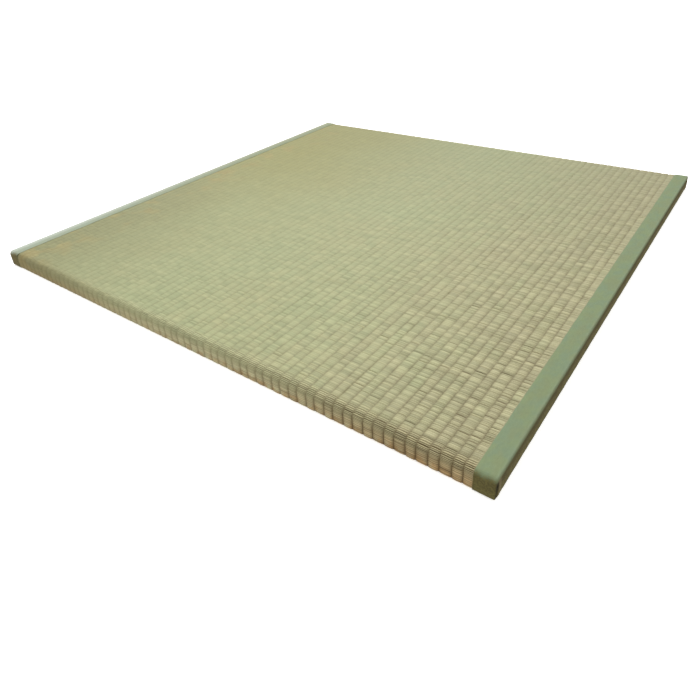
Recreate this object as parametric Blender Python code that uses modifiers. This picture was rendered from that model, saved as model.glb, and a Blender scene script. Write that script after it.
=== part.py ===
"""Square tatami mat, in metres, with +Z up and its origin at the centre of the underside.

X runs across the ribs from one cloth binding to the other, and Y runs along the ribs. The mat is a thin
filled body whose woven rush passes over the top and down both ends, with a strip of cloth folded round
each of the other two edges.
"""

import math

import bmesh
import bpy

# The whole mat
WIDTH = 1.000
LENGTH = 1.000
HEIGHT = 0.030
TOP_RADIUS = 0.008
BOTTOM_RADIUS = 0.0035
TOP_ARC_STEPS = 4
BOTTOM_ARC_STEPS = 2

# The cloth bindings
BINDING_WIDTH = 0.026
BINDING_THICKNESS = 0.0012
SIDE_FOLD_RADIUS = 0.0025
SIDE_FOLD_STEPS = 3
CLEARANCE = 0.0003

# The woven rush: the warp pulls a furrow between ribs that are wide and narrow in turn
RIB_WIDE = 0.01585
RIB_NARROW = 0.0134
RIB_BY_BINDING = 0.0118
CROWN_INSET = 0.0008
FURROW_DEPTH = 0.0013
SHOULDER_DEPTH = 0.0003
SHOULDER_SHARE = 0.25

# The flattened rush under the bindings
TUCK_INSET = BINDING_THICKNESS + CLEARANCE
TUCK_CHAMFER = 0.0012

RUSH_COLOUR = (0.43, 0.41, 0.25, 1.0)
CLOTH_COLOUR = (0.28, 0.34, 0.20, 1.0)


def make_material(name, colour, roughness):
    """A plain non-metal finish."""
    material = bpy.data.materials.new(name)
    material.use_nodes = True
    shader = material.node_tree.nodes["Principled BSDF"]
    shader.inputs["Base Color"].default_value = colour
    shader.inputs["Roughness"].default_value = roughness
    shader.inputs["Metallic"].default_value = 0.0
    return material


def arc(centre, radii, start, end, steps):
    """Points in the YZ plane on a quarter of an ellipse, between two angles in degrees."""
    points = []
    for step in range(steps + 1):
        angle = math.radians(start + (end - start) * step / steps)
        y = centre[0] + radii[0] * math.cos(angle)
        z = centre[1] + radii[1] * math.sin(angle)
        points.append((y, z))
    return points


def section(x, inset, under_inset):
    """The mat's outline across Y and Z at x, drawn in by inset on its top and ends and by under_inset below."""
    top_radii = (TOP_RADIUS - inset, TOP_RADIUS - inset)
    low_radii = (BOTTOM_RADIUS - inset, BOTTOM_RADIUS - under_inset)
    top_y = LENGTH / 2 - TOP_RADIUS
    top_z = HEIGHT - TOP_RADIUS
    low_y = LENGTH / 2 - BOTTOM_RADIUS
    low_z = BOTTOM_RADIUS
    outline = arc((low_y, low_z), low_radii, -90, 0, BOTTOM_ARC_STEPS)
    outline += arc((top_y, top_z), top_radii, 0, 90, TOP_ARC_STEPS)
    outline += arc((-top_y, top_z), top_radii, 90, 180, TOP_ARC_STEPS)
    outline += arc((-low_y, low_z), low_radii, 180, 270, BOTTOM_ARC_STEPS)
    return [(x, y, z) for y, z in outline]


def loft(sections, cap_first, cap_last):
    """A skin through sections with equal numbers of points, as a bmesh with its faces pointing out."""
    mesh = bmesh.new()
    rings = [[mesh.verts.new(point) for point in ring] for ring in sections]
    for ring, following in zip(rings, rings[1:]):
        count = len(ring)
        for i in range(count):
            j = (i + 1) % count
            mesh.faces.new((ring[i], ring[j], following[j], following[i]))
    if cap_first:
        mesh.faces.new(list(reversed(rings[0])))
    if cap_last:
        mesh.faces.new(rings[-1])
    bmesh.ops.recalc_face_normals(mesh, faces=mesh.faces)
    return mesh


def add_object(mesh, name, collection, material):
    """Turns a bmesh into a named object in a collection."""
    data = bpy.data.meshes.new(name)
    mesh.to_mesh(data)
    mesh.free()
    data.materials.append(material)
    item = bpy.data.objects.new(name, data)
    collection.objects.link(item)
    return item


def furrows():
    """Where the furrows between the ribs run, from the +X binding to the -X one."""
    edge = WIDTH / 2 - BINDING_WIDTH
    found = []
    x = edge - RIB_BY_BINDING
    widths = (RIB_NARROW, RIB_WIDE)
    while x > -edge + RIB_NARROW / 2:
        found.append(x)
        x -= widths[len(found) % 2 - 1]
    return found


def rib_sections():
    """Sections over the visible rush: a furrow, a shoulder, a crown and a shoulder for each rib."""
    edge = WIDTH / 2 - BINDING_WIDTH - CLEARANCE
    lines = [edge, *furrows(), -edge]
    sections = []
    for number, (start, end) in enumerate(zip(lines, lines[1:])):
        span = start - end
        first_depth = 0.0 if number == 0 else FURROW_DEPTH
        sections.append(section(start, CROWN_INSET + first_depth, 0.0))
        sections.append(section(start - span * SHOULDER_SHARE, CROWN_INSET + SHOULDER_DEPTH, 0.0))
        sections.append(section(start - span / 2, CROWN_INSET, 0.0))
        sections.append(section(end + span * SHOULDER_SHARE, CROWN_INSET + SHOULDER_DEPTH, 0.0))
    sections.append(section(-edge, CROWN_INSET, 0.0))
    return sections


def tucked_sections(side):
    """Sections of the flattened rush inside one binding, from the outer face inwards."""
    outer = WIDTH / 2 - TUCK_INSET
    inner = WIDTH / 2 - BINDING_WIDTH - CLEARANCE
    drawn_in = TUCK_INSET + TUCK_CHAMFER
    return [
        section(side * outer, drawn_in, drawn_in),
        section(side * (outer - TUCK_CHAMFER), TUCK_INSET, TUCK_INSET),
        section(side * inner, TUCK_INSET, TUCK_INSET),
    ]


def build_body(collection, material):
    """The rush-covered body: one filled solid, ribbed on its top and ends and flat underneath."""
    left = list(reversed(tucked_sections(-1)))
    skin = loft([*tucked_sections(1), *rib_sections(), *left], cap_first=True, cap_last=True)
    return add_object(skin, "rush_mat", collection, material)


def build_binding(side, name, collection, material):
    """A cloth strip folded over one edge, and down and under both of its ends."""
    fold_start = WIDTH / 2 - SIDE_FOLD_RADIUS
    sections = [section(side * (WIDTH / 2 - BINDING_WIDTH), 0.0, 0.0)]
    for step in range(SIDE_FOLD_STEPS + 1):
        angle = math.pi / 2 * step / SIDE_FOLD_STEPS
        inset = SIDE_FOLD_RADIUS * (1 - math.cos(angle))
        x = fold_start + SIDE_FOLD_RADIUS * math.sin(angle)
        sections.append(section(side * x, inset, inset))
    skin = loft(sections, cap_first=False, cap_last=True)
    if (skin.faces[:][-1].normal.x > 0) != (side > 0):
        bmesh.ops.reverse_faces(skin, faces=skin.faces)
    strip = add_object(skin, name, collection, material)
    cloth = strip.modifiers.new("Cloth thickness", "SOLIDIFY")
    cloth.thickness = BINDING_THICKNESS
    cloth.offset = -1.0
    cloth.use_even_offset = True
    return strip


def main():
    for old in list(bpy.data.objects):
        bpy.data.objects.remove(old)
    collection = bpy.data.collections.new("Tatami mat")
    bpy.context.scene.collection.children.link(collection)
    rush = make_material("Woven rush", RUSH_COLOUR, 0.6)
    cloth = make_material("Binding cloth", CLOTH_COLOUR, 0.75)
    build_body(collection, rush)
    build_binding(1, "binding_right", collection, cloth)
    build_binding(-1, "binding_left", collection, cloth)


main()
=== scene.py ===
import math
from types import SimpleNamespace

import bmesh
import bpy
import numpy as np
from mathutils import Matrix, Vector, noise


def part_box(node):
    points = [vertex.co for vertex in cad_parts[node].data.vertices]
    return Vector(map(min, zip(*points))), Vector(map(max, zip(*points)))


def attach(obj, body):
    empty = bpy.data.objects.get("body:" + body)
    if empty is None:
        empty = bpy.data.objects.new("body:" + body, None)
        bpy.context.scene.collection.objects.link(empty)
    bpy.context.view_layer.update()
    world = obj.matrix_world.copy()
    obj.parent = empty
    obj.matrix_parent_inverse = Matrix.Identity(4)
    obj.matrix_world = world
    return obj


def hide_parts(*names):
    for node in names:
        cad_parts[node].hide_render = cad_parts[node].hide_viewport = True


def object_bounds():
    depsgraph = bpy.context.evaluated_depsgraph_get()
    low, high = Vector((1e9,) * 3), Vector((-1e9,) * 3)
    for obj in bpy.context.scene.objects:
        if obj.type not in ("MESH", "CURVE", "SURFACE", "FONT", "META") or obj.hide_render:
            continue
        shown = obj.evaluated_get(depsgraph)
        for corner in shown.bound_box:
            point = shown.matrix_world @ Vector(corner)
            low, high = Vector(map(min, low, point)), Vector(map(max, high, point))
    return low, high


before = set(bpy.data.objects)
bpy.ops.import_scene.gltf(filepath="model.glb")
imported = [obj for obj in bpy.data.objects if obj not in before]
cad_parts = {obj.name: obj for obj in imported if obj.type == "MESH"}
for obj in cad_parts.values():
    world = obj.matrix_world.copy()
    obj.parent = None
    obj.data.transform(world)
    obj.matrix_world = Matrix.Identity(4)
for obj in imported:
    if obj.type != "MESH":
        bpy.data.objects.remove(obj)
solid_low, solid_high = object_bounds()


# The woven rush cover
# Dried rush stalks run from one cloth binding to the other, each over one rib and under the next, and cotton
# warps pull the furrows between the ribs. The sheet is stretched over a board, down both of its ends and a
# little way under them. It is made in panels that meet in a furrow.

# The ribs and furrows, in metres, with the reach of each bump in rows of points
RIB_WIDE = 0.01585
RIB_NARROW = 0.0134
RIB_BY_BINDING = 0.0118
LAST_RIB_LEAST = RIB_NARROW * 1.4
FURROW_DEPTH = 0.0014
FURROW_UNEVENNESS = 0.25
FURROW_UNEVEN_REACH = 7
FURROW_WHEN_TIGHT = 0.45
FURROW_STEEPNESS = 4.5
DEEPEST = 0.0021
WANDER_SLOW = 0.00035
WANDER_SLOW_REACH = 60
WANDER_QUICK = 0.00028
WANDER_QUICK_REACH = 6
SWELL = 0.00020
SWELL_REACH = 24

# How the cover passes round the board
TOP_BEND = 0.0100
BOTTOM_BEND = 0.003
TURNED_UNDER = 0.030
GIRTH_STEPS = 20000
UNDERSIDE_FLATTENED = 0.55
PRESSED_BY_BINDING = 0.0002
COVERED_BY_BINDING = 0.005
RIBS_IN_PANEL = 13
JUST_INSIDE = 1e-4

# The stalks, and the bunches that they lie in
STALK_PITCH = 0.0030
STALK_UNEVENNESS = 0.26
STALK_DEPTH = 0.00040
STALK_PROFILE = ((0.0, 1.0), (0.25, 0.3), (0.5, 0.0), (0.75, 0.3), (1.0, 1.0))
ROWS_PER_STALK = 4
COLUMN_PLACES = (0.0, 0.15, 0.5, 0.85)
SMALLEST_BUNCH = 2
LARGEST_BUNCH = 4
BUNCH_DEPTH = 0.0010
SETTLED = 0.00012

# The dips between bunches and the painted shade in the gaps between them, whose reaches count stalks: few
# gaps are wide
WIDE_GAPS_RARE = 5
DIP_LEAST = 0.25
DIP_REACH = 0.6
DIP_WHEN_TIGHT = 0.1
DIP_LESS_OVER_BEND = 0.3
GAP_LEAST = 0.22
GAP_REACH = 0.28
GAP_STRENGTH = 0.8
GAP_MORE_OVER_BEND = 0.9
GAP_IN_FURROW = 0.2

# How slack the weave is, by metres from the middle, and how far that parts one stalk from the next
SLACK_AT_X = ((-0.5, 0.20), (-0.3, 0.25), (-0.1, 0.34), (0.1, 0.46), (0.3, 0.74), (0.42, 1.05), (0.5, 1.2))
SLACK_AT_Y = ((-0.5, 1.3), (-0.35, 1.2), (0.0, 0.95), (0.5, 0.6))
SLACK_POWER = 1.5
PARTED = 1.6
PARTED_BY_BUNCH = (0.8, 0.25)
PARTED_BY_SEAM = (0.50, 1.2)
PARTED_OVER_BEND = 1.7
PARTED_FROM_BEND = ((-0.008, 0.0), (-0.002, 0.7), (0.006, 1.0), (0.015, 0.65), (0.024, 0.32), (0.040, 0.22))
PARTED_AT_SLACK = ((0.295, 0.1), (0.79, 1.2))
# The ridge reading paints a highlight on the crests of the stalks and shade in the seams between them
RIDGE_LEVEL = 0.75
RIDGE_LOWER_OVER_BEND = 0.4
RIDGE_MOST = 0.8
RIDGE_IN_FURROW = 0.4

# How dark the painted shade in the furrows is, with the reach of a bump in rows of points, and where the
# ends begin
FURROW_SHADE = 0.78
FURROW_SHADE_RANGE = 0.22
FURROW_SHADE_REACH = 5
SHADE_BY_BINDING = 0.1
END_STARTS = 0.15

chance = np.random.default_rng(7)
mat_low, mat_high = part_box("rush_mat")
binding_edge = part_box("binding_right")[0].x


def by_table(values, table):
    """Values read off a table of pairs, with straight lines between them."""
    return np.interp(values, *zip(*table))


def smooth_chance(rows, columns, reach):
    """Even random waves from -1 to 1 down each column, with a bump about every reach rows."""
    tail = 3 * reach
    steps = np.arange(-tail, tail + 1)
    weights = np.exp(-0.5 * (steps / reach) ** 2)
    raw = chance.normal(size=(rows + 2 * tail, columns))
    waves = np.stack([np.convolve(raw[:, i], weights, "valid") for i in range(columns)], axis=1)
    return np.clip(waves / (2 * waves.std()), -1, 1)


def furrow_places():
    """Where the furrows run across the mat, from left to right, with the edges of both bindings."""
    places = [binding_edge, binding_edge - RIB_BY_BINDING]
    widths = (RIB_NARROW, RIB_WIDE)
    while places[-1] - LAST_RIB_LEAST > -binding_edge:
        places.append(places[-1] - widths[len(places) % 2])
    return np.array([-binding_edge, *reversed(places)])


def girth():
    """The line of the ribs' crowns round the mat: the way along it, its Y and Z, and its turn."""
    face = mat_high.z - TOP_BEND - BOTTOM_BEND
    top = 2 * (mat_high.y - TOP_BEND)
    quarter = math.pi / 2
    up_one_end = [TURNED_UNDER, quarter * BOTTOM_BEND, face, quarter * TOP_BEND]
    knots = np.concatenate([[0], np.cumsum([*up_one_end, top, *reversed(up_one_end)])])
    turns = np.repeat(np.arange(5), 2) * quarter
    along = np.linspace(0, knots[-1], GIRTH_STEPS + 1)
    turn = np.interp(along, knots, turns)
    step = along[1]
    middle = (turn[1:] + turn[:-1]) / 2
    start = -mat_high.y + BOTTOM_BEND + TURNED_UNDER
    y = start + np.concatenate([[0], np.cumsum(-np.cos(middle) * step)])
    z = mat_low.z + np.concatenate([[0], np.cumsum(np.sin(middle) * step)])
    return along, y, z, turn


class StalkRows:
    """Rows of points round the mat, some to each stalk, from under the front end to under the back end."""

    def __init__(self):
        line, line_y, line_z, line_turn = girth()
        self.length = float(line[-1])
        self.stalks = round(self.length / STALK_PITCH)
        widths = 1 + STALK_UNEVENNESS * np.clip(chance.normal(size=self.stalks), -2, 2)
        edges = np.concatenate([[0], np.cumsum(widths)]) / widths.sum() * line[-1]
        self.number = np.arange(self.stalks * ROWS_PER_STALK + 1) / ROWS_PER_STALK
        along = np.interp(self.number, np.arange(self.stalks + 1), edges)
        self.count = len(along)
        self.y = np.interp(along, line, line_y)
        self.z = np.interp(along, line, line_z)
        self.turn = np.interp(along, line, line_turn)
        self.underneath = (1 + np.cos(self.turn)) / 2
        self.flattened = 1 - UNDERSIDE_FLATTENED * self.underneath ** 4
        self.drop = (mat_high.z - self.z) / (mat_high.z - mat_low.z)
        from_bend = np.abs(self.y) - (mat_high.y - TOP_BEND) + mat_high.z - self.z
        self.bent = by_table(from_bend, PARTED_FROM_BEND)


class Furrows:
    """The furrows row by row: where each runs, how deep it is and how dark its painted shade is, and how
    slack the weave is there.
    """

    def __init__(self, rows):
        self.places = furrow_places()
        self.ribs = len(self.places) - 1
        size = (rows.count, self.ribs + 1)
        wander = WANDER_SLOW * smooth_chance(*size, WANDER_SLOW_REACH)
        wander += WANDER_QUICK * smooth_chance(*size, WANDER_QUICK_REACH)
        wander[:, [0, -1]] = 0
        self.x = self.places[None, :] + wander
        self.slack = by_table(self.places, SLACK_AT_X)[None, :] * by_table(rows.y, SLACK_AT_Y)[:, None]

        # Painted shade in each furrow, full down the ends and stronger where the weave is slack
        shade = FURROW_SHADE + FURROW_SHADE_RANGE * smooth_chance(*size, FURROW_SHADE_REACH)
        shade = np.maximum(shade, rows.drop[:, None] > END_STARTS)
        self.shade = np.minimum(shade * self.slack, 1)
        self.shade[:, [0, -1]] = SHADE_BY_BINDING

        uneven = 1 + FURROW_UNEVENNESS * smooth_chance(*size, FURROW_UNEVEN_REACH)
        self.depth = FURROW_DEPTH * uneven * rows.flattened[:, None]
        self.depth *= FURROW_WHEN_TIGHT + (1 - FURROW_WHEN_TIGHT) * self.slack
        self.depth[:, [0, -1]] = PRESSED_BY_BINDING * (1 + rows.underneath[:, None])
        self.swell = SWELL * (1 + smooth_chance(rows.count, self.ribs, SWELL_REACH)) / 2


def bunches(phase, stalks):
    """The bunches that the stalks of one rib lie in, row by row, with the gaps and seams between them."""
    sizes = chance.integers(SMALLEST_BUNCH, LARGEST_BUNCH + 1, size=stalks)
    starts = np.concatenate([[0], np.cumsum(sizes)])
    here = np.searchsorted(starts, phase, side="right") - 1
    before = phase - starts[here]
    after = starts[here + 1] - phase
    gap = np.where(before < after, here, here + 1)
    tones, hues, parted, low, open_gaps = chance.random((5, stalks + 1))
    seams = chance.random(stalks + 2)[np.round(phase).astype(int)]
    from_gap = np.minimum(before, after)
    width = open_gaps[gap] ** WIDE_GAPS_RARE
    bunch_least, bunch_range = PARTED_BY_BUNCH
    seam_least, seam_range = PARTED_BY_SEAM
    return SimpleNamespace(
        tone=tones[here],
        hue=hues[here],
        wave=by_table(phase % 1, STALK_PROFILE),
        parted=(bunch_least + bunch_range * parted[here] ** 2) * (seam_least + seam_range * seams ** 2),
        low=SETTLED * low[here] ** 2,
        dip=BUNCH_DEPTH * (DIP_LEAST + (1 - DIP_LEAST) * width) * np.exp(-((from_gap / DIP_REACH) ** 2)),
        gap=(GAP_LEAST + (1 - GAP_LEAST) * width) * np.exp(-((from_gap / GAP_REACH) ** 2)),
    )


class Cover:
    """The cover as a grid: a column in each furrow and three on the rib beside it, and its readings."""

    def __init__(self, rows, furrows):
        self.rows = rows
        self.furrows = furrows
        names = ("x", "depth", "across", "furrow", "ridge", "gap", "tone", "hue", "slack")
        self.columns = {name: [] for name in names}
        left, right = furrows.places[0], furrows.places[-1]
        self.add_column(x=left - COVERED_BY_BINDING, depth=furrows.depth[:, 0], furrow=SHADE_BY_BINDING)
        for rib in range(furrows.ribs):
            self.add_rib(rib)
        for x in (furrows.x[:, -1], right + COVERED_BY_BINDING):
            across = furrows.ribs - JUST_INSIDE
            self.add_column(x=x, depth=furrows.depth[:, -1], across=across, furrow=SHADE_BY_BINDING)

    def add_column(self, **values):
        for name, column in self.columns.items():
            column.append(np.broadcast_to(values.get(name, 0.0), self.rows.count))

    def add_rib(self, rib):
        rows, furrows = self.rows, self.furrows
        bunch = bunches(rows.number + 0.5 * (rib % 2), rows.stalks)
        loose = furrows.slack[:, rib]
        parted = bunch.parted * PARTED * loose ** SLACK_POWER
        parted = parted + PARTED_OVER_BEND * rows.bent * by_table(loose, PARTED_AT_SLACK)
        dip = bunch.dip * (DIP_WHEN_TIGHT + (1 - DIP_WHEN_TIGHT) * loose)
        dip = dip * (1 - DIP_LESS_OVER_BEND * rows.bent)
        crown = furrows.swell[:, rib] + bunch.low + dip + bunch.wave * parted * STALK_DEPTH
        # Painted highlight and shade: the ridge reading is high on the stalks' crests and low between them,
        # and the gap reading darkens the gaps between bunches
        ridge_level = RIDGE_LEVEL - RIDGE_LOWER_OVER_BEND * rows.bent
        ridge = np.minimum(parted * (ridge_level - bunch.wave), RIDGE_MOST)
        opened = GAP_STRENGTH * loose ** SLACK_POWER * (1 + GAP_MORE_OVER_BEND * rows.bent)
        gap = np.clip(bunch.gap * opened, 0, 1)
        left, right = furrows.x[:, rib], furrows.x[:, rib + 1]
        for place in COLUMN_PLACES:
            in_furrow = place == 0
            nearest = rib if place < 0.5 else rib + 1
            from_crown = abs(2 * place - 1)
            sunk = crown * rows.flattened + furrows.depth[:, nearest] * from_crown ** FURROW_STEEPNESS
            self.add_column(
                x=left + (right - left) * place,
                depth=furrows.depth[:, rib] if in_furrow else np.minimum(sunk, DEEPEST),
                across=rib + place,
                furrow=furrows.shade[:, nearest],
                ridge=ridge * (RIDGE_IN_FURROW if in_furrow else 1.0),
                gap=gap * (GAP_IN_FURROW if in_furrow else 1.0),
                tone=bunch.tone,
                hue=bunch.hue,
                slack=loose,
            )

    def grid(self):
        """The points of the cover, and the three vectors that its finish reads at each."""
        rows = self.rows
        at = {name: np.stack(column, axis=1) for name, column in self.columns.items()}
        y = rows.y[:, None] + np.sin(rows.turn)[:, None] * at["depth"]
        z = rows.z[:, None] + np.cos(rows.turn)[:, None] * at["depth"]
        number = np.broadcast_to(rows.number[:, None], y.shape)
        drop = np.broadcast_to(rows.drop[:, None], y.shape)
        readings = {
            "weave": np.stack([at["across"], number, drop], axis=2),
            "painted_shading": np.stack([at["furrow"], at["ridge"], at["gap"]], axis=2),
            "bunch": np.stack([at["tone"], at["hue"], at["slack"]], axis=2),
        }
        return np.stack([at["x"], y, z], axis=2), readings


def add_object(name, data):
    """A new object in the scene that shows this data."""
    made = bpy.data.objects.new(name, data)
    bpy.context.scene.collection.objects.link(made)
    return made


def lay_grid(name, points, finish, readings):
    """A mesh of four-sided faces through rows and columns of points, shaded smooth."""
    rows, columns = points.shape[:2]
    number = np.arange(rows * columns).reshape(rows, columns)
    corners = [number[:-1, :-1], number[:-1, 1:], number[1:, 1:], number[1:, :-1]]
    faces = np.stack(corners, axis=-1).reshape(-1, 4)
    data = bpy.data.meshes.new(name)
    data.vertices.add(rows * columns)
    data.vertices.foreach_set("co", points.reshape(-1).astype(np.float32))
    data.loops.add(faces.size)
    data.loops.foreach_set("vertex_index", faces.reshape(-1).astype(np.int32))
    data.polygons.add(len(faces))
    data.polygons.foreach_set("loop_start", np.arange(0, faces.size, 4, dtype=np.int32))
    for label, values in readings.items():
        layer = data.attributes.new(label, "FLOAT_VECTOR", "POINT")
        layer.data.foreach_set("vector", values.reshape(-1).astype(np.float32))
    data.update(calc_edges=True)
    data.validate()
    data.shade_smooth()
    data.materials.append(finish)
    return add_object(name, data)


class Wire:
    """A shader socket on which Python's own +, - and * add Math nodes, from either side."""

    def __init__(self, nodes, socket):
        self.nodes = nodes
        self.socket = socket

    def maths(self, operation, *others):
        return self.nodes.maths(operation, self, *others)

    def __add__(self, other):
        return self.maths("ADD", other)

    __radd__ = __add__

    def __mul__(self, other):
        return self.maths("MULTIPLY", other)

    __rmul__ = __mul__

    def __sub__(self, other):
        return self.maths("SUBTRACT", other)

    def __rsub__(self, other):
        return self.nodes.maths("SUBTRACT", other, self)

    def __neg__(self):
        return self * -1

    def __abs__(self):
        return self.maths("ABSOLUTE")

    def rise(self, start, end):
        """0 before start, 1 after end, and a smooth step between them."""
        settings = {"interpolation_type": "SMOOTHSTEP"}
        sockets = {"Value": self, "From Min": start, "From Max": end}
        return self.nodes.node("ShaderNodeMapRange", settings, sockets)

    def other(self, output):
        """Another output of the same node."""
        return Wire(self.nodes, self.socket.node.outputs[output])


class Nodes:
    """A node tree, with one method that adds every node."""

    def __init__(self, tree):
        self.tree = tree

    def node(self, kind, settings=None, sockets=None, output=0):
        made = self.tree.nodes.new(kind)
        for key, value in (settings or {}).items():
            setattr(made, key, value)
        for key, value in (sockets or {}).items():
            self.feed(made.inputs[key], value)
        return Wire(self, made.outputs[output])

    def feed(self, socket, value):
        if isinstance(value, Wire):
            self.tree.links.new(value.socket, socket)
        else:
            socket.default_value = value

    def maths(self, operation, *values):
        return self.node("ShaderNodeMath", {"operation": operation}, dict(enumerate(values)))

    def attribute(self, name, output="Vector"):
        """A reading that is kept in the mesh."""
        return self.node("ShaderNodeAttribute", {"attribute_name": name}, None, output)

    def place(self):
        """The point's place in metres, in the mat's own frame."""
        return self.node("ShaderNodeTexCoord", None, None, "Object")

    def parts(self, vector):
        """The X, Y and Z of a vector."""
        x = self.node("ShaderNodeSeparateXYZ", None, {0: vector})
        return x, x.other("Y"), x.other("Z")

    def point(self, x=0.0, y=0.0, z=0.0):
        return self.node("ShaderNodeCombineXYZ", None, {"X": x, "Y": y, "Z": z})

    def noise(self, vector, scale, detail=2.0):
        sockets = {"Vector": vector, "Scale": scale, "Detail": detail}
        return self.node("ShaderNodeTexNoise", {"noise_dimensions": "3D"}, sockets)

    def chance(self, x, y=0.0):
        """A number from 0 to 1 that is the same wherever x and y are."""
        return self.node("ShaderNodeTexWhiteNoise", {"noise_dimensions": "2D"}, {"Vector": self.point(x, y)})

    def mix(self, share, first, second, blend="MIX"):
        settings = {"data_type": "RGBA", "blend_type": blend}
        return self.node("ShaderNodeMix", settings, {0: share, 6: first, 7: second}, 2)

    def shade(self, colour, amount):
        """A colour made lighter or darker by a number."""
        grey = self.node("ShaderNodeCombineColor", None, {0: amount, 1: amount, 2: amount})
        return self.mix(1.0, colour, grey, "MULTIPLY")


class Finish(Nodes):
    """A material with one Principled shader, whose constants are set on its own sockets."""

    def __init__(self, name, **constants):
        self.material = bpy.data.materials.new(name)
        self.material.use_nodes = True
        super().__init__(self.material.node_tree)
        self.shader = self.tree.nodes["Principled BSDF"]
        for socket, value in constants.items():
            self.shader.inputs[socket.replace("_", " ")].default_value = value

    def drive(self, name, value):
        self.feed(self.shader.inputs[name], value)

    def bump(self, height, distance, strength=1.0):
        sockets = {"Height": height, "Distance": distance, "Strength": strength}
        self.drive("Normal", self.node("ShaderNodeBump", None, sockets))


# The colours of the rush on the top and on the ends, and of the painted shade in its hollows
RUSH_GREEN = (0.342, 0.370, 0.200, 1.0)
RUSH_STRAW = (0.375, 0.368, 0.200, 1.0)
RUSH_TAN = (0.350, 0.325, 0.194, 1.0)
RUSH_YELLOW = (0.325, 0.312, 0.118, 1.0)
RUSH_OLIVE = (0.270, 0.270, 0.136, 1.0)
END_MIDDLE = (0.465, 0.450, 0.278, 1.0)
END_RIGHT = (0.405, 0.315, 0.172, 1.0)
END_LEFT = (0.345, 0.293, 0.143, 1.0)
# A painted reflection of a warm floor, in orange spots low on the ends
RUSH_FLOOR_REFLECTION = (0.385, 0.235, 0.100, 1.0)
RUSH_SUNNED = (0.41, 0.315, 0.125, 1.0)
RUSH_HOLLOW_SHADE = (0.085, 0.056, 0.016, 1.0)
END_HOLLOW_SHADE = (0.060, 0.034, 0.010, 1.0)

# How fine the noise is: bumps to a metre, to a rib across and to a stalk along
REGION_SCALE = 5.0
PATCH_ACROSS = 0.6
PATCH_ALONG = 14.0
FIBRE_ACROSS = 1.5
FIBRE_ALONG = 9.0
MOTTLE_SCALE = 45.0
MOTTLE_LAYER = 7.0
FLOOR_REFLECTION_SCALE = 90.0
SUNNED_SCALE = 24.0
FLOAT_SEED = 17

# Where each region begins and where it is full: metres from the middle, or share of the height down an end
TOWARDS_RIGHT = (0.12, 0.62)
TOWARDS_BACK = (-0.2, 0.5)
BACK_LEFT_IN_X = (-0.05, 0.50)
BACK_LEFT_IN_Y = (-0.35, 0.45)
FRONT_LEFT_IN_X = (0.20, 0.56)
FRONT_LEFT_IN_Y = (-0.05, 0.50)
NEAR_CORNER = (0.65, 0.95)
ON_BEND = (0.476, 0.498)
LIT_END = (-0.42, -0.12)
RIGHT_OF_END = (0.10, 0.48)
LEFT_OF_END = (0.0, 0.45)
BROWNED_IN_X = (-0.45, 0.10)
BROWNED_DOWN = (0.35, 0.85)
FLOOR_REFLECTION_IN_X = (-0.2, 0.2)
FLOOR_REFLECTION_DOWN = (0.40, 0.85)
SUNNED_IN_X = (0.34, 0.48)
GROOVED_DOWN = (0.1, 0.4)
LOW_DOWN = (0.78, 0.95)

# How far the noise moves the edges of the regions, in metres
EDGE_IN_X = 0.1
EDGE_IN_Y = 0.3
RIGHT_EDGE_BY_REGION = 0.16
RIGHT_EDGE_BY_PATCH = 0.4

# How much noise makes a spot, and how deep a seam shows
STRAWY = (0.4, 1.1)
FLOOR_REFLECTION_SPOTS = (0.36, 0.64)
SUNNED_SPOTS = (0.48, 0.68)
SEAM_SHOWS = (0.02, 0.5)

# How strongly each of these turns the colour
STRAW_AT_LEAST = 0.25
STRAW_BY_REGION = 0.7
STRAW_BY_PATCH = 0.5
STRAW_BY_MOTTLE = 0.6
STRAW_BY_BUNCH = 0.1
STRAW_BY_FLOAT = 0.12
TAN_AT_RIGHT = 0.9
YELLOW_AT_BACK_LEFT = 0.95
END_ON_BEND = 0.35
END_LOWER_DOWN = 0.65
BROWNED_BY_RIGHT = 0.25
FLOOR_REFLECTION_STRENGTH = 0.7
FLOOR_REFLECTION_AT_LEFT = 0.3
SUNNED_STRENGTH = 0.5

# How strongly each of these makes the rush lighter or darker
TONE_WHEN_TIGHT = 0.86
TONE_BY_SLACK = 0.12
TONE_BY_STALK = 0.06
PAINTED_RELIEF_BY_RIDGE = 0.12
TONE_BY_FLOAT = 0.34
TONE_BY_BUNCH = 0.03
TONE_BY_FIBRE = 0.18
TONE_MIDDLE = 0.275
MOST_SLACK_IN_TONE = 1.1
TONE_BY_MOTTLE = 0.16
DARKER_AT_BACK = 0.10
DARKER_AT_BACK_LEFT = 0.03
DARKER_AT_NEAR_CORNER = 0.04
SHADE_ON_BEND = 0.06
DARKER_LOW_DOWN = 0.15
LIGHTER_ENDS = 0.17

# How dark the painted shade is in the furrows, the seams between stalks and the gaps between bunches
GROOVE_SHADE = 0.62
GROOVE_SHADE_MORE_ON_ENDS = 0.28
GROOVE_STEEPNESS = 4
SEAM_SHADE = 0.45
SEAM_SHADE_BY_SLACK = 0.22
GAP_SHADE = 0.80

RUSH_SMOOTHEST = 0.50
RUSH_ROUGHER_BY_FIBRE = 0.16
FIBRE_HEIGHT = 0.0002
FIBRE_STRENGTH = 0.5


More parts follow.
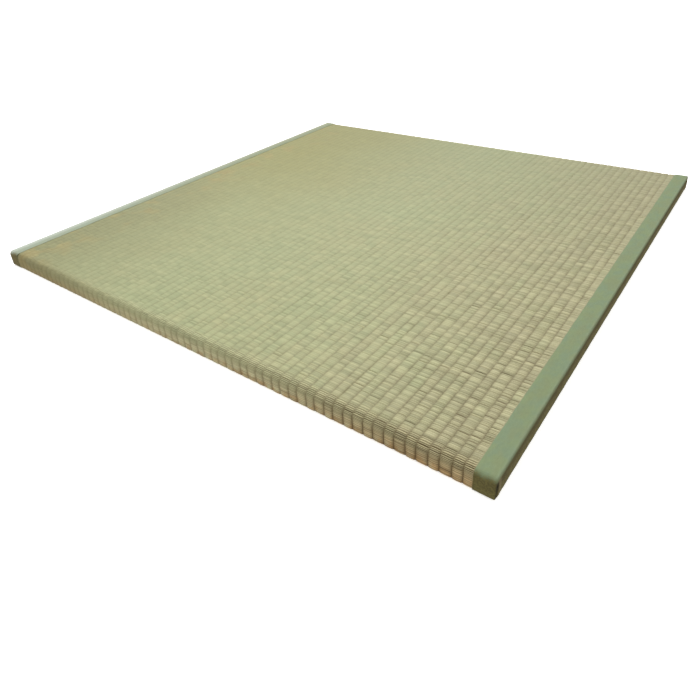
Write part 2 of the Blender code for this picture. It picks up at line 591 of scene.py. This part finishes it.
def rush_readings(rush):
    """What the finish knows at each point: its place, its stalk and float, its bunch, and the painted
    shading of its hollows.
    """
    at = SimpleNamespace()
    at.across, along, at.drop = rush.parts(rush.attribute("weave"))
    at.furrow, at.ridge, at.gap = rush.parts(rush.attribute("painted_shading"))
    at.bunch_tone, at.bunch_hue, at.slack = rush.parts(rush.attribute("bunch"))
    at.place = rush.place()
    at.x, at.y, _ = rush.parts(at.place)
    at.rib = at.across.maths("FLOOR")
    odd = at.rib.maths("FLOORED_MODULO", 2)
    line = along + odd * 0.5
    stalk = line.maths("FLOOR") * 2 - odd
    at.stalk_tone = rush.chance(stalk)
    at.float_tone = rush.chance(at.rib + FLOAT_SEED, stalk)
    at.region = rush.noise(at.place, REGION_SCALE)
    at.patch = rush.noise(rush.point(at.rib * PATCH_ACROSS, at.y * PATCH_ALONG), 1.0) - 0.5
    at.fibre = rush.noise(rush.point(at.across * FIBRE_ACROSS, line * FIBRE_ALONG), 1.0)
    at.mottle = rush.noise(rush.point(at.x, at.y, MOTTLE_LAYER), MOTTLE_SCALE) - 0.5
    at.back_left = (at.region * EDGE_IN_X - at.x).rise(*BACK_LEFT_IN_X)
    at.back_left = at.back_left * (at.y + at.region * EDGE_IN_Y).rise(*BACK_LEFT_IN_Y)
    at.on_bend = abs(at.y).rise(*ON_BEND)
    return at


def rush_top_colour(rush, at):
    """Green to straw, tan towards the right, yellow at the back left and olive at the front left."""
    slack_patch = at.patch * at.slack
    strawy = at.region * STRAW_BY_REGION + slack_patch * STRAW_BY_PATCH + at.mottle * STRAW_BY_MOTTLE
    strawy = strawy + STRAW_AT_LEAST + at.bunch_hue * at.slack * STRAW_BY_BUNCH
    strawy = strawy + at.float_tone * STRAW_BY_FLOAT
    right_edge = at.region * RIGHT_EDGE_BY_REGION + slack_patch * RIGHT_EDGE_BY_PATCH
    towards_right = (at.x + right_edge).rise(*TOWARDS_RIGHT)
    front_left = (at.region * EDGE_IN_X - at.x).rise(*FRONT_LEFT_IN_X)
    front_left = front_left * (at.region * EDGE_IN_Y - at.y).rise(*FRONT_LEFT_IN_Y)
    colour = rush.mix(strawy.rise(*STRAWY), RUSH_GREEN, RUSH_STRAW)
    colour = rush.mix(towards_right * TAN_AT_RIGHT, colour, RUSH_TAN)
    colour = rush.mix(at.back_left * YELLOW_AT_BACK_LEFT, colour, RUSH_YELLOW)
    return rush.mix(front_left, colour, RUSH_OLIVE)


def rush_end_colour(rush, at, colour):
    """The same down the ends, which are browner, with a painted reflection of a warm floor low down, and
    sunned spots at the left.
    """
    end_right = at.x.rise(*RIGHT_OF_END)
    end_left = (-at.x).rise(*LEFT_OF_END)
    browned = (at.drop + at.x.rise(*BROWNED_IN_X) * BROWNED_BY_RIGHT).rise(*BROWNED_DOWN)
    # Painted reflection of a warm floor: orange spots low on the ends, fewer at the left
    floor_reflection = rush.noise(at.place, FLOOR_REFLECTION_SCALE).rise(*FLOOR_REFLECTION_SPOTS) * at.drop.rise(*FLOOR_REFLECTION_DOWN)
    floor_reflection = floor_reflection * (FLOOR_REFLECTION_AT_LEFT + at.x.rise(*FLOOR_REFLECTION_IN_X) * (1 - FLOOR_REFLECTION_AT_LEFT))
    sunned = rush.noise(at.place, SUNNED_SCALE).rise(*SUNNED_SPOTS) * (-at.x).rise(*SUNNED_IN_X)
    end = rush.mix(end_left, rush.mix(end_right, END_MIDDLE, END_RIGHT), END_LEFT)
    colour = rush.mix(at.on_bend * END_ON_BEND + browned * END_LOWER_DOWN, colour, end)
    colour = rush.mix(floor_reflection * FLOOR_REFLECTION_STRENGTH, colour, RUSH_FLOOR_REFLECTION)
    return rush.mix(sunned * SUNNED_STRENGTH, colour, RUSH_SUNNED)


def rush_tone(at):
    """How light the rush is: by stalk, float and bunch where the weave is slack, and by region, with a
    painted highlight on the stalks' crests, painted shade over the bends and painted light on the bends of
    the ends.
    """
    floats = at.float_tone * TONE_BY_FLOAT + at.bunch_tone * TONE_BY_BUNCH + at.fibre * TONE_BY_FIBRE
    floats = (floats - TONE_MIDDLE) * at.slack.maths("MINIMUM", MOST_SLACK_IN_TONE)
    tone = TONE_WHEN_TIGHT + at.slack * TONE_BY_SLACK + at.stalk_tone * TONE_BY_STALK
    # The ridge reading paints a highlight on the stalks' crests and shade between them
    tone = tone + floats + at.ridge * PAINTED_RELIEF_BY_RIDGE
    towards_back = at.y.rise(*TOWARDS_BACK)
    near_corner = (at.x - at.y).rise(*NEAR_CORNER)
    low_down = at.drop.rise(*LOW_DOWN)
    lit_end = at.on_bend * at.x.rise(*LIT_END)
    tone = tone * (1 - towards_back * DARKER_AT_BACK) * (1 - at.back_left * DARKER_AT_BACK_LEFT)
    # Painted shade over the bends, and painted light on the bends of the ends away from the left
    tone = tone * (1 - at.on_bend * SHADE_ON_BEND) * (1 + lit_end * LIGHTER_ENDS)
    tone = tone * (1 - low_down * DARKER_LOW_DOWN) * (1 - near_corner * DARKER_AT_NEAR_CORNER)
    return tone * (1 + at.mottle * TONE_BY_MOTTLE)


def rush_painted_shade(at):
    """The painted shade in the furrows, the seams and the gaps, from 0 to 1."""
    from_crown = abs((at.across - at.rib) * 2 - 1)
    on_end = at.drop.rise(*GROOVED_DOWN)
    between_stalks = (-at.ridge).rise(*SEAM_SHOWS)
    groove = at.furrow * from_crown.maths("POWER", GROOVE_STEEPNESS)
    groove = groove * (GROOVE_SHADE + on_end * GROOVE_SHADE_MORE_ON_ENDS)
    seam = between_stalks * (SEAM_SHADE + at.slack * SEAM_SHADE_BY_SLACK)
    return 1 - (1 - groove) * (1 - seam) * (1 - at.gap * GAP_SHADE)


def rush_finish():
    """Pale green to straw rush: each stalk and each of its floats over a rib has its own tone."""
    rush = Finish("rush", Roughness=0.6, Specular_IOR_Level=0.15)
    at = rush_readings(rush)
    colour = rush_end_colour(rush, at, rush_top_colour(rush, at))
    colour = rush.shade(colour, rush_tone(at))
    # Painted shade darkens the furrows, the seams between stalks and the gaps between bunches
    hollow_shade = rush.mix(at.drop, RUSH_HOLLOW_SHADE, END_HOLLOW_SHADE)
    rush.drive("Base Color", rush.mix(rush_painted_shade(at), colour, hollow_shade))
    rush.drive("Roughness", RUSH_SMOOTHEST + at.fibre * RUSH_ROUGHER_BY_FIBRE)
    rush.bump(at.fibre, FIBRE_HEIGHT, FIBRE_STRENGTH)
    return rush.material


def lay_panels(rows, furrows, finish):
    """Weaves the cover and lays it as panels, from left to right, each ending in a furrow."""
    points, readings = Cover(rows, furrows).grid()
    last_column = points.shape[1] - 1
    first = 0
    panels = 0
    while first < last_column:
        last = first + RIBS_IN_PANEL * len(COLUMN_PLACES) + (1 if first == 0 else 0)
        if last > last_column - len(COLUMN_PLACES):
            last = last_column
        part = slice(first, last + 1)
        panels += 1
        part_readings = {label: values[:, part] for label, values in readings.items()}
        panel = lay_grid(f"rush_weave_{panels}", points[:, part], finish, part_readings)
        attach(panel, "root")
        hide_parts("rush_mat")
        first = last


stalk_rows = StalkRows()
lay_panels(stalk_rows, Furrows(stalk_rows), rush_finish())


# The board's underside
# The cover is stretched over a flat fibreboard, which shows only from below, between the two strips of
# rush that are turned under it.
BOARD_INSET = 0.0034
BOARD_LIFT = 0.0014
BOARD_EDGE = 0.001
BOARD_TOP_BEND = 0.0065
BOARD_BEND_STEPS = 4
BOARD_DARK = (0.40, 0.33, 0.23, 1.0)
BOARD_LIGHT = (0.50, 0.43, 0.32, 1.0)
BOARD_FLECK_SCALE = 160.0
BOARD_CLOUD_SCALE = 6.0
BOARD_FLECKS = (0.35, 0.7)
FINE_DETAIL = 3.0
BOARD_TONE = 0.85
BOARD_TONE_BY_CLOUD = 0.3
BOARD_FLECK_HEIGHT = 0.0003
BOARD_FLECK_STRENGTH = 0.6


def box_shell(low, high):
    """A plain box between two corners."""
    shell = bmesh.new()
    bmesh.ops.create_cube(shell, size=1.0)
    bmesh.ops.scale(shell, vec=high - low, verts=shell.verts)
    bmesh.ops.translate(shell, vec=(low + high) / 2, verts=shell.verts)
    return shell


def soften(shell, edges, radius, steps):
    """Rounds these edges of a shell."""
    bmesh.ops.bevel(shell, geom=edges, offset=radius, segments=steps, profile=0.5, affect="EDGES")


board_finish = Finish("fibreboard", Roughness=0.9)
board_flecks = board_finish.noise(board_finish.place(), BOARD_FLECK_SCALE, FINE_DETAIL)
board_clouds = board_finish.noise(board_finish.place(), BOARD_CLOUD_SCALE)
board_colour = board_finish.mix(board_flecks.rise(*BOARD_FLECKS), BOARD_DARK, BOARD_LIGHT)
board_tone = BOARD_TONE + board_clouds * BOARD_TONE_BY_CLOUD
board_finish.drive("Base Color", board_finish.shade(board_colour, board_tone))
board_finish.bump(board_flecks, BOARD_FLECK_HEIGHT, BOARD_FLECK_STRENGTH)

board_high = mat_high - Vector((BOARD_INSET / 2, BOARD_INSET, BOARD_INSET))
board_low = Vector((-board_high.x, -board_high.y, BOARD_LIFT))
board_mesh = box_shell(board_low, board_high)
board_top_ends = []
board_bottom = []
for board_edge in board_mesh.edges:
    start, end = (vert.co for vert in board_edge.verts)
    if max(start.z, end.z) < mat_high.z / 2:
        board_bottom.append(board_edge)
    elif min(start.z, end.z) > mat_high.z / 2 and start.y * end.y > 0:
        board_top_ends.append(board_edge)
soften(board_mesh, board_top_ends, BOARD_TOP_BEND, BOARD_BEND_STEPS)
soften(board_mesh, board_bottom, BOARD_EDGE, BOARD_BEND_STEPS)
board_data = bpy.data.meshes.new("underside_board")
board_mesh.to_mesh(board_data)
board_mesh.free()
board_data.materials.append(board_finish.material)
board = add_object("underside_board", board_data)
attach(board, "root")
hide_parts("rush_mat")


# The cloth bindings
# A strip of plain green cotton is folded round each of the two edges that run along the ribs, and closed
# over both ends of the board. At each corner the spare cloth is tucked into an upright pleat on the side.
CLOTH_THICKNESS = 0.0011
CLOTH_TOP_BEND = 0.008
CLOTH_BOTTOM_BEND = 0.0035
CLOTH_SIDE_BEND = 0.0022
CLOTH_BEND_STEPS = 6
CLOTH_SIDE_STEPS = 4
CLOTH_STEP = 0.005
CLOTH_CUTS_ACROSS = 6
CLOTH_CUTS_UP = 10
CLOTH_EDGE_SOFT = 0.0003
CLOTH_EDGE_REACH = 0.0013
CLOTH_EDGE_UNEVENNESS = 0.0005
CLOTH_EDGE_BUMPS = 90
CLOTH_PULLED_DOWN = 0.0005
CLOTH_PULLED_REACH = 0.006
CLOTH_RIPPLE = 0.00022
CLOTH_RIPPLE_BUMPS = 60
CLOTH_RESTS_BELOW = 0.001
SAME_PLACE = 1e-6

# The pleat: its height out of the side, by metres from the end, and where it shows, by share of the height
PLEAT_REACH = 0.016
PLEAT_STEP = 0.0006
PLEAT_PROFILE = (
    (0.0, 0.0), (0.0010, 0.0002), (0.0018, 0.0001), (0.0026, -0.0004), (0.0034, -0.0008), (0.0046, -0.0008),
    (0.0056, 0.0003), (0.0068, 0.0010), (0.0095, 0.0009), (0.013, 0.0003), (PLEAT_REACH, 0.0))
PLEAT_AT_HEIGHT = ((0.0, 0.0), (0.15, 1.0), (0.60, 1.0), (0.86, 0.0))
ON_SIDE_BY_NORMAL = ((0.3, 0.0), (0.9, 1.0))

# The slit behind the pleat, which leans a little, and its painted shadow
SLIT_FROM_END_AT_HEIGHT = ((0.0, 0.0022), (0.8, 0.0044))
SLIT_AT_HEIGHT = ((0.0, 0.9), (0.06, 1.0), (0.68, 1.0), (0.86, 0.0))
SLIT_WIDTH = 0.0020
SLIT_SHADOW_STRENGTH = 1.6

# The colours of the cloth: fresh, with painted sheen, painted shade and painted shadow
CLOTH_GREEN = (0.202, 0.256, 0.133, 1.0)
CLOTH_BLUE = (0.188, 0.247, 0.146, 1.0)
CLOTH_OLIVE = (0.206, 0.238, 0.122, 1.0)
CLOTH_SHEEN = (0.60, 0.64, 0.58, 1.0)
CLOTH_SHEEN_AT_BACK = (0.43, 0.43, 0.32, 1.0)
CLOTH_SHADE = (0.110, 0.094, 0.030, 1.0)
CLOTH_DEEP_SHADE = (0.053, 0.043, 0.010, 1.0)
CLOTH_FLAP = (0.230, 0.190, 0.100, 1.0)
CLOTH_SLIT_SHADOW = (0.02, 0.016, 0.006, 1.0)
THREADS_PER_METRE = 1500

# How fine the noise is, in bumps to a metre, and how far it is drawn out along the binding
CLOUD_SCALE = 80.0
CLOUD_DETAIL = 5.0
CLOUD_DRAWN_OUT = 0.8
BLOT_SCALE = 60.0
BLOT_DRAWN_OUT = 0.5
BLOT_PLACE = 3
SLUB_SCALE = 150.0
SLUB_NARROWED = 2.5
SPECK_SCALE = 420.0

# How much noise makes a speck, a bluer cloud, an olive blot and a blot of deeper painted shade
SPECKS = (0.36, 0.64)
BLUE_CLOUDS = (0.38, 0.62)
OLIVE_BLOTS = (0.42, 0.66)
DEEP_SHADE_BLOTS = (0.5, 0.7)

# Where each part of a binding begins and ends, in metres in from the mat's own edge or top
OUTER_HALF = (0.020, 0.002)
TOP_OF_CLOTH = (0.007, 0.002)
RIM_BY_EDGE = (0.0045, 0.001)
RIM_UNDER_TOP = 0.004
FLAP_BEGINS = (0.0055, 0.0070)
FLAP_ENDS = (0.011, 0.016)

# Where the painted shade and the painted shadow under the top of the sides begin and are full, by share of
# the height, and two changes by metres in Y
SHADE_BELOW_TOP = (0.02, 0.26)
SIDE_SHADOW_UP = (0.25, 0.75)
SHEEN_TOWARDS_BACK = (-0.5, 0.3)
BACK_FLAP = (0.0, 0.1)

# How strongly each of these turns the colour
OLIVE_STRENGTH = 0.6
SHEEN_ALL_OVER = 0.32
SHEEN_OUTER_HALF = 0.45
SHEEN_OFF_TOP = 0.2
RIM_WEAR_AND_HIGHLIGHT = 0.05
SHADE_STRENGTH = 0.95
SHADE_LESS_ON_LEFT_SIDE = 0.45
SIDE_SHADOW_STRENGTH = 0.8
DEEP_SHADE_BY_BLOT = 0.25
SHADE_TONE = 0.52
SHADE_TONE_BY_CLOUD = 0.85
SHADE_TONE_BY_SPECK = 0.50
FRONT_FLAP_STRENGTH = 0.6
BACK_FLAP_LESS = 0.45
LEFT_END_STRENGTH = 0.32
CLOTH_TONE = 0.86
CLOTH_TONE_BY_SLUB = 0.18
CLOTH_TONE_BY_THREAD = 0.06

# How far the painted shade on the end flaps climbs above its line, in metres
SHADE_EDGE_BY_BLOT = 0.010
SHADE_EDGE_BY_CLOUD = 0.006
SHADE_EDGE_BY_SPECK = 0.0016
SHADE_HIGHER_ON_ENDS = 0.0004

THREAD_HEIGHT = 0.0002
THREAD_STRENGTH = 0.6


def cloth_readings(cloth):
    """What the finish knows at each point: its place, the way that it faces, and its noise and threads."""
    at = SimpleNamespace()
    at.place = cloth.place()
    at.x, at.y, at.z = cloth.parts(at.place)
    normal = cloth.node("ShaderNodeNewGeometry", None, None, "Normal")
    at.facing_side, at.facing_end, at.facing_up = [abs(part) for part in cloth.parts(normal)]
    turn = math.pi * THREADS_PER_METRE
    thread_x, thread_y, thread_z = [(part * turn).maths("SINE") for part in (at.x, at.y, at.z)]
    at.woven = thread_x * thread_y * at.facing_up + thread_y * thread_z * at.facing_side
    at.woven = at.woven + thread_x * thread_z * at.facing_end
    cloud_place = cloth.point(at.x, at.y * CLOUD_DRAWN_OUT, at.z)
    blot_place = cloth.point(at.x + BLOT_PLACE, at.y * BLOT_DRAWN_OUT, at.z)
    slub_place = cloth.point(at.x * SLUB_NARROWED, at.y, at.z * SLUB_NARROWED)
    at.clouds = cloth.noise(cloud_place, CLOUD_SCALE, CLOUD_DETAIL)
    at.blots = cloth.noise(blot_place, BLOT_SCALE)
    at.slubs = cloth.noise(slub_place, SLUB_SCALE, FINE_DETAIL)
    at.specks = cloth.noise(at.place, SPECK_SCALE, FINE_DETAIL).rise(*SPECKS)
    at.bleached = (-at.x).rise(0.0, solid_high.x)
    return at


def inside(edge, distances):
    """Two places that lie these distances in from an edge."""
    return [edge - distance for distance in distances]


def cloth_clean_colour(cloth, at):
    """Sage green, uneven in tone, with painted sheen that pales the left binding, and a little worn on its
    rim, where a painted highlight also lies.
    """
    outer_half = (-at.x).rise(*inside(solid_high.x, OUTER_HALF))
    on_top = at.z.rise(*inside(solid_high.z, TOP_OF_CLOTH))
    # The rim is a little worn, and a painted highlight lies along it
    rim = abs(at.x).rise(*inside(solid_high.x, RIM_BY_EDGE))
    rim = rim * at.z.rise(solid_high.z - RIM_UNDER_TOP, solid_high.z)
    # Painted sheen pales the left binding, most on its outer half and on its top
    painted_sheen = at.bleached * SHEEN_ALL_OVER + outer_half * SHEEN_OUTER_HALF
    painted_sheen = painted_sheen * (SHEEN_OFF_TOP + on_top * (1 - SHEEN_OFF_TOP))
    sheen_colour = cloth.mix(at.y.rise(*SHEEN_TOWARDS_BACK), CLOTH_SHEEN, CLOTH_SHEEN_AT_BACK)
    colour = cloth.mix(at.clouds.rise(*BLUE_CLOUDS), CLOTH_GREEN, CLOTH_BLUE)
    colour = cloth.mix(at.blots.rise(*OLIVE_BLOTS) * OLIVE_STRENGTH, colour, CLOTH_OLIVE)
    colour = cloth.mix(painted_sheen, colour, sheen_colour)
    return cloth.mix(rim * RIM_WEAR_AND_HIGHLIGHT, colour, CLOTH_SHEEN)


def cloth_shaded_colour(cloth, at, colour):
    """The same with painted shade on its lower part, painted shadow under the top of each side, and a
    painted highlight on the pleat near each end.
    """
    # Painted shade over the lower part of the cloth, whose edge wanders with the noise on the end flaps
    shade_edge_rise = (at.blots - 0.5) * SHADE_EDGE_BY_BLOT + (at.clouds - 0.5) * SHADE_EDGE_BY_CLOUD
    shade_edge_rise = (shade_edge_rise + at.specks * SHADE_EDGE_BY_SPECK + SHADE_HIGHER_ON_ENDS) * at.facing_end
    shade_places = [share * solid_high.z for share in SHADE_BELOW_TOP]
    shadow_places = [share * solid_high.z for share in SIDE_SHADOW_UP]
    low = (solid_high.z - at.z + shade_edge_rise).rise(*shade_places)
    # Deeper painted shade: a painted shadow under the top edge of each side, and blots
    side_shadow = at.z.rise(*shadow_places) * at.facing_side
    deepest_shade = side_shadow * SIDE_SHADOW_STRENGTH + at.blots.rise(*DEEP_SHADE_BLOTS) * DEEP_SHADE_BY_BLOT
    shade_tone = SHADE_TONE + at.clouds * SHADE_TONE_BY_CLOUD + at.specks * SHADE_TONE_BY_SPECK
    shade = cloth.shade(cloth.mix(deepest_shade, CLOTH_SHADE, CLOTH_DEEP_SHADE), shade_tone)
    from_end = solid_high.y - abs(at.y)
    # A painted highlight on the crest of the pleat near each end, weaker at the back
    pleat_highlight = from_end.rise(*FLAP_BEGINS) * (1 - from_end.rise(*FLAP_ENDS)) * at.facing_side * low
    pleat_highlight = pleat_highlight * (FRONT_FLAP_STRENGTH - at.y.rise(*BACK_FLAP) * BACK_FLAP_LESS)
    left_end = at.bleached * at.facing_end * low
    shade_share = low * (SHADE_STRENGTH - at.bleached * at.facing_side * SHADE_LESS_ON_LEFT_SIDE)
    colour = cloth.mix(shade_share, colour, shade)
    colour = cloth.mix(pleat_highlight, colour, CLOTH_FLAP)
    return cloth.mix(left_end * LEFT_END_STRENGTH, colour, CLOTH_FLAP)


def cloth_finish():
    """Matt plain-woven cotton, with its threads and slubs, and painted shadow in the slits."""
    cloth = Finish("binding_cloth", Roughness=0.8, Specular_IOR_Level=0.25)
    at = cloth_readings(cloth)
    colour = cloth_shaded_colour(cloth, at, cloth_clean_colour(cloth, at))
    tone = CLOTH_TONE + at.slubs * CLOTH_TONE_BY_SLUB + at.woven * CLOTH_TONE_BY_THREAD
    # Painted shadow in the slit behind each pleat
    colour = cloth.mix(cloth.attribute("slit", "Fac"), cloth.shade(colour, tone), CLOTH_SLIT_SHADOW)
    cloth.drive("Base Color", colour)
    cloth.bump(at.woven * 0.5 + at.slubs * 0.5, THREAD_HEIGHT, THREAD_STRENGTH)
    return cloth.material


def cut_shell(low, high, inner, outer):
    """A box with rounded edges, open towards the middle of the mat and cut into small faces."""
    side = math.copysign(1.0, outer)
    middle = (low + high) / 2
    shell = box_shell(low, high)

    def across_an_end(edge, above):
        first, second = (vert.co for vert in edge.verts)
        across = abs(first.z - second.z) < SAME_PLACE and abs(first.y - second.y) < SAME_PLACE
        return across and (first.z > middle.z) == above

    def stands_at(part, x):
        return all(abs(vert.co.x - x) < SAME_PLACE for vert in part.verts)

    soften(shell, [e for e in shell.edges if across_an_end(e, True)], CLOTH_TOP_BEND, CLOTH_BEND_STEPS)
    soften(shell, [e for e in shell.edges if across_an_end(e, False)], CLOTH_BOTTOM_BEND, CLOTH_BEND_STEPS)
    soften(shell, [e for e in shell.edges if stands_at(e, outer)], CLOTH_SIDE_BEND, CLOTH_SIDE_STEPS)
    open_side = [face for face in shell.faces if stands_at(face, inner)]
    bmesh.ops.delete(shell, geom=open_side, context="FACES_ONLY")

    pleated = np.arange(PLEAT_STEP, PLEAT_REACH, PLEAT_STEP)
    y_cuts = [*np.arange(low.y + PLEAT_REACH, high.y - PLEAT_REACH, CLOTH_STEP)]
    y_cuts += [*(low.y + pleated), *(high.y - pleated)]
    x_cuts = [inner + side * CLOTH_EDGE_SOFT, *np.linspace(inner, outer, CLOTH_CUTS_ACROSS + 2)[1:-1]]
    z_cuts = np.linspace(low.z, high.z, CLOTH_CUTS_UP + 2)[1:-1]
    cuts = [(Vector((0, y, 0)), Vector((0, 1, 0))) for y in y_cuts]
    cuts += [(Vector((x, 0, 0)), Vector((1, 0, 0))) for x in x_cuts]
    cuts += [(Vector((0, 0, z)), Vector((0, 0, 1))) for z in z_cuts]
    for place, direction in cuts:
        geometry = shell.verts[:] + shell.edges[:] + shell.faces[:]
        bmesh.ops.bisect_plane(
            shell, geom=geometry, plane_co=place, plane_no=direction, dist=SAME_PLACE / 10)
    bmesh.ops.recalc_face_normals(shell, faces=shell.faces)
    shell.normal_update()
    return shell


def fold_cloth(shell, low, high, inner, side):
    """Ripples the cloth, pulls its inner edge down, and sets the pleat and the slit, with the mask of the
    slit's painted shadow, at both ends.
    """
    slit = shell.verts.layers.float.new("slit")
    for vert in shell.verts:
        height = vert.co.z / high.z
        from_end = high.y - abs(vert.co.y)
        on_side = by_table(abs(vert.normal.x), ON_SIDE_BY_NORMAL)
        pleat = by_table(from_end, PLEAT_PROFILE) * by_table(height, PLEAT_AT_HEIGHT) * on_side
        from_slit = (from_end - by_table(height, SLIT_FROM_END_AT_HEIGHT)) / SLIT_WIDTH
        slit_here = min(1.0, SLIT_SHADOW_STRENGTH * math.exp(-from_slit ** 2))
        vert[slit] = float(slit_here * by_table(height, SLIT_AT_HEIGHT) * on_side)
        above_floor = vert.co.z > low.z + CLOTH_RESTS_BELOW
        ripple = CLOTH_RIPPLE * noise.noise(vert.co * CLOTH_RIPPLE_BUMPS) * above_floor
        from_inner = abs(vert.co.x - inner) / CLOTH_PULLED_REACH
        pulled = CLOTH_PULLED_DOWN * max(0.0, 1 - from_inner) ** 2 * above_floor
        vert.co += vert.normal * (ripple - pulled)
        vert.co.x += side * float(pleat)
        if abs(vert.co.x - inner) < CLOTH_EDGE_REACH:
            vert.co.x += side * CLOTH_EDGE_UNEVENNESS * noise.noise(vert.co * CLOTH_EDGE_BUMPS)


def cloth_binding(node, finish):
    """One binding as a thin cloth shell, open towards the middle of the mat."""
    low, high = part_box(node)
    outer = high.x if high.x > 0 else low.x
    inner = low.x if high.x > 0 else high.x
    shell = cut_shell(low, high, inner, outer)
    fold_cloth(shell, low, high, inner, math.copysign(1.0, outer))
    data = bpy.data.meshes.new(node + "_cloth")
    shell.to_mesh(data)
    shell.free()
    data.shade_smooth()
    data.materials.append(finish)
    piece = add_object(node + "_cloth", data)
    thickness = piece.modifiers.new("Cloth thickness", "SOLIDIFY")
    thickness.thickness = CLOTH_THICKNESS
    thickness.offset = -1.0
    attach(piece, "root")
    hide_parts(node)


binding_finish = cloth_finish()
for node in ("binding_left", "binding_right"):
    cloth_binding(node, binding_finish)


# The floor, the light and the camera
# The mat lies on a plain white floor under soft light from above and behind, with a dimmer, warmer light
# from low down.
FLOOR_SIDE = 60.0
FLOOR_GAP = 0.0002
FLOOR_COLOUR = (0.9, 0.9, 0.9, 1.0)
FLOOR_GLOW = 0.55
WHITE = (1.0, 1.0, 1.0, 1.0)

floor_mesh = bpy.data.meshes.new("floor")
floor_grid = bmesh.new()
bmesh.ops.create_grid(floor_grid, x_segments=1, y_segments=1, size=FLOOR_SIDE / 2)
floor_grid.to_mesh(floor_mesh)
floor_grid.free()
floor = add_object("floor", floor_mesh)
floor.location.z = solid_low.z - FLOOR_GAP
floor_finish = Finish(
    "pale_floor", Base_Color=FLOOR_COLOUR, Roughness=1.0, Specular_IOR_Level=0.0,
    Emission_Color=WHITE, Emission_Strength=FLOOR_GLOW)
floor_mesh.materials.append(floor_finish.material)
floor.visible_diffuse = False
floor.visible_glossy = False

SKY_HIGH = (0.86, 0.86, 0.85, 1.0)
SKY_LOW = (0.72, 0.66, 0.56, 1.0)
SKY_BLEND = 0.4
world = bpy.data.worlds.new("soft_light")
bpy.context.scene.world = world
world.use_nodes = True
sky = Nodes(world.node_tree)
sky_height = sky.parts(sky.node("ShaderNodeTexCoord", None, None, "Generated"))[2]
sky_colour = sky.mix(sky_height.rise(-SKY_BLEND, SKY_BLEND), SKY_LOW, SKY_HIGH)
sky_seen = sky.node("ShaderNodeLightPath", None, None, "Is Camera Ray")
sky.feed(world.node_tree.nodes["Background"].inputs["Color"], sky.mix(sky_seen, sky_colour, WHITE))

KEY_LIGHT = 2.0
KEY_SPREAD = math.radians(35)
KEY_FROM = Vector((-0.55, 0.75, 0.95))
key_data = bpy.data.lights.new("key", "SUN")
key_data.energy = KEY_LIGHT
key_data.angle = KEY_SPREAD
key = add_object("key", key_data)
key.rotation_euler = (-KEY_FROM).to_track_quat("-Z", "Y").to_euler()

CAMERA_PLACE = Vector((0.6445, -0.9049, 0.5139))
CAMERA_AIM = Vector((0.0894, -0.1939, 0.0))
CAMERA_ROLL = math.radians(-3.53)
LENS_MM = 30.17
SENSOR_MM = 36.0
FRAME_SIDE_PX = 700
FRAME_SHIFT_PX = -75
camera_data = bpy.data.cameras.new("camera")
camera_data.lens = LENS_MM
camera_data.sensor_width = SENSOR_MM
camera_data.shift_y = FRAME_SHIFT_PX / FRAME_SIDE_PX
camera = add_object("camera", camera_data)
camera.location = CAMERA_PLACE
aim = (CAMERA_AIM - CAMERA_PLACE).to_track_quat("-Z", "Y").to_matrix()
camera.rotation_euler = (aim @ Matrix.Rotation(CAMERA_ROLL, 3, "Z")).to_euler()
bpy.context.scene.camera = camera
bpy.context.scene.view_settings.view_transform = "Standard"
